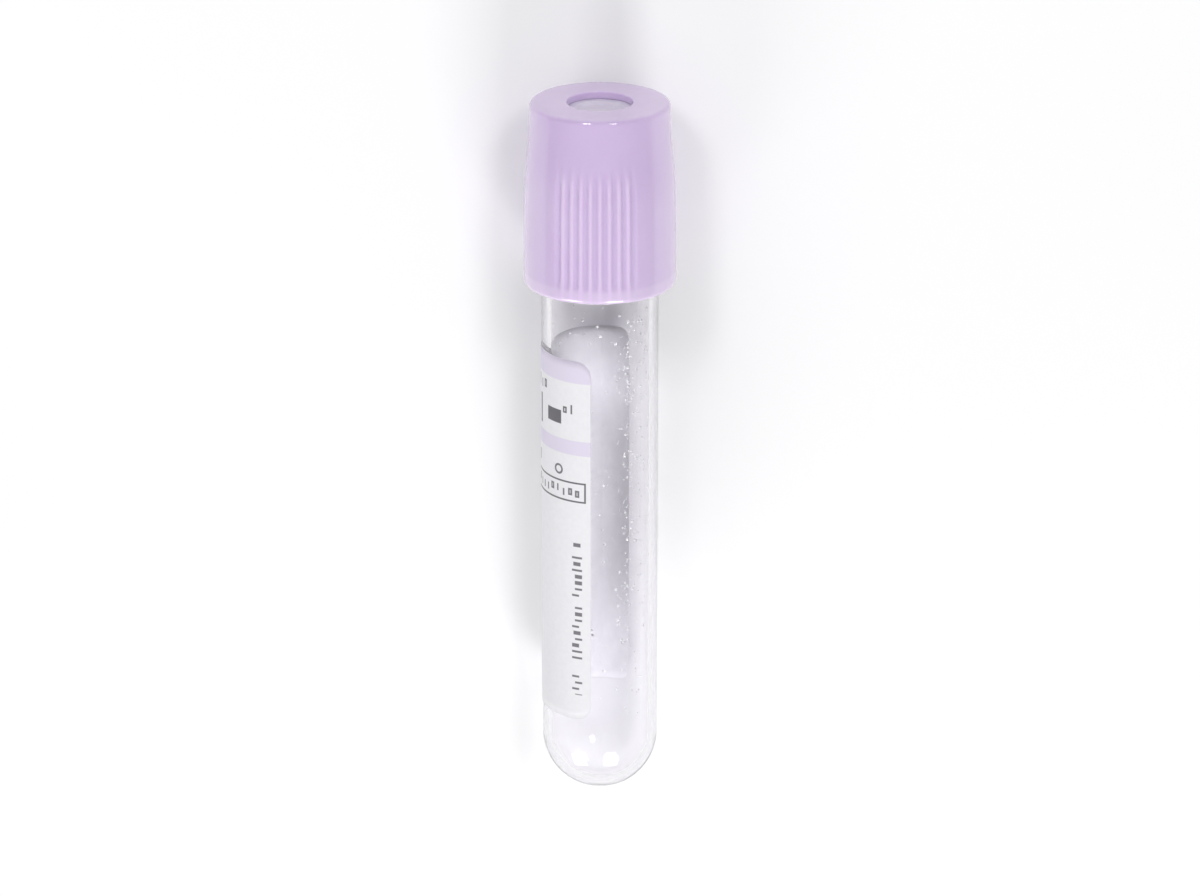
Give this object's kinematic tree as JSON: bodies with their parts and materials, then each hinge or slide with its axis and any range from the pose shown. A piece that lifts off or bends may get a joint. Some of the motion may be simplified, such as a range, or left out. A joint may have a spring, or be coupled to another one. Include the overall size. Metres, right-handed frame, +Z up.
{
  "type": "blood collection tube",
  "caption": "Clear round-bottomed blood collection tube with a wrapped white label and a lilac push-on cap that carries a rubber stopper.",
  "frame": {"origin": "centre of the bounding box's base: on the floor, under the middle of the lying tube", "axes": "+Y along the floor from the round bottom towards the cap, +Z up, +X to the right when the cap points away from the viewer; the tube's own axis rises by 2.05 degrees towards the cap, which rests on its lip"},
  "size_m": [0.017, 0.0818, 0.0172],
  "materials": {
    "clear_plastic": "gloss",
    "label_paper": "satin",
    "cap_plastic": "satin",
    "stopper_rubber": "matte"
  },
  "bodies": {
    "tube_body": {"tube": "clear_plastic", "label": "label_paper"},
    "closure": {"cap": "cap_plastic", "stopper": "stopper_rubber"}
  },
  "joints": [
    {"name": "closure_pull", "type": "slide", "parent": "tube_body", "child": "closure", "axis": [0, 0.9994, 0.0357], "range_m": [0, 0.02]}
  ]
}
